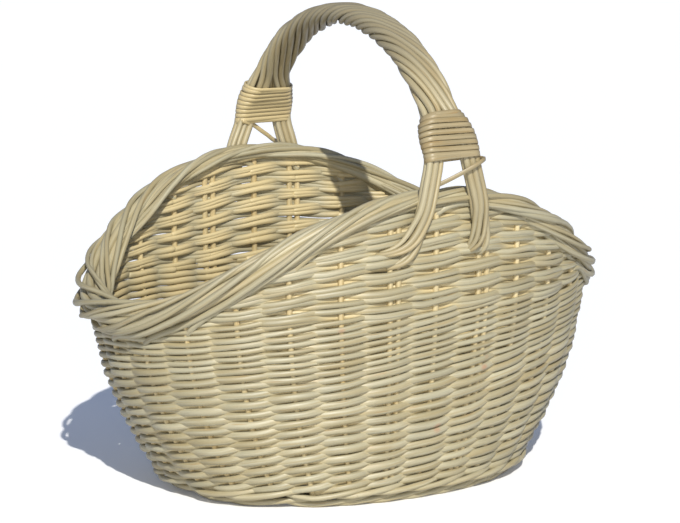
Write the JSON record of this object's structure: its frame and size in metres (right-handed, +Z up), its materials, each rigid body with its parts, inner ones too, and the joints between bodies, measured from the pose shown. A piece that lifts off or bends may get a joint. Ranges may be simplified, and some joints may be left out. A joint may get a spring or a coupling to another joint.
{
  "type": "willow gift basket",
  "caption": "Oval willow basket with flared woven walls, a border that dips at both ends, and a twisted rod handle bound to the sides.",
  "frame": {"origin": "on the floor under the middle of the basket", "axes": "+X along the basket's length, +Y across it to the back, the way the handle spans, +Z up"},
  "size_m": [0.4234, 0.3152, 0.358],
  "materials": {
    "base_willow": "peeled willow sticks, matt",
    "weaver_willow": "peeled willow rods, satin",
    "stake_willow": "peeled willow rods, satin",
    "border_willow": "peeled willow rods, satin",
    "handle_willow": "peeled willow rods, satin",
    "binding_skein": "split willow skein, smooth"
  },
  "bodies": {
    "root": {"base_long_stick_1": "base_willow", "base_long_stick_2": "base_willow", "base_long_stick_3": "base_willow", "base_cross_stick_1": "base_willow", "base_cross_stick_2": "base_willow", "base_cross_stick_3": "base_willow", "base_cross_stick_4": "base_willow", "base_cross_stick_5": "base_willow", "base_weave_1": "base_willow", "base_weave_2": "base_willow", "foot_wale": "weaver_willow", "upset_wale": "weaver_willow", "stake_01": "stake_willow", "stake_02": "stake_willow", "stake_03": "stake_willow", "stake_04": "stake_willow", "stake_05": "stake_willow", "stake_06": "stake_willow", "stake_07": "stake_willow", "stake_08": "stake_willow", "stake_09": "stake_willow", "stake_10": "stake_willow", "stake_11": "stake_willow", "stake_12": "stake_willow", "stake_13": "stake_willow", "stake_14": "stake_willow", "stake_15": "stake_willow", "stake_16": "stake_willow", "stake_17": "stake_willow", "stake_18": "stake_willow", "stake_19": "stake_willow", "stake_20": "stake_willow", "stake_21": "stake_willow", "stake_22": "stake_willow", "stake_23": "stake_willow", "stake_24": "stake_willow", "stake_25": "stake_willow", "stake_26": "stake_willow", "stake_27": "stake_willow", "stake_28": "stake_willow", "wall_weave_1": "weaver_willow", "wall_weave_2": "weaver_willow", "side_packing_back": "weaver_willow", "side_packing_front": "weaver_willow", "border_strand_1": "border_willow", "border_strand_2": "border_willow", "border_strand_3": "border_willow", "border_strand_4": "border_willow", "handle_rod_1": "handle_willow", "handle_rod_2": "handle_willow", "handle_rod_3": "handle_willow", "handle_rod_4": "handle_willow", "handle_rod_5": "handle_willow", "handle_rod_6": "handle_willow", "handle_rod_7": "handle_willow", "handle_rod_8": "handle_willow", "handle_binding_near": "binding_skein", "handle_binding_far": "binding_skein", "handle_tie_near": "binding_skein", "handle_tie_far": "binding_skein"}
  },
  "joints": []
}
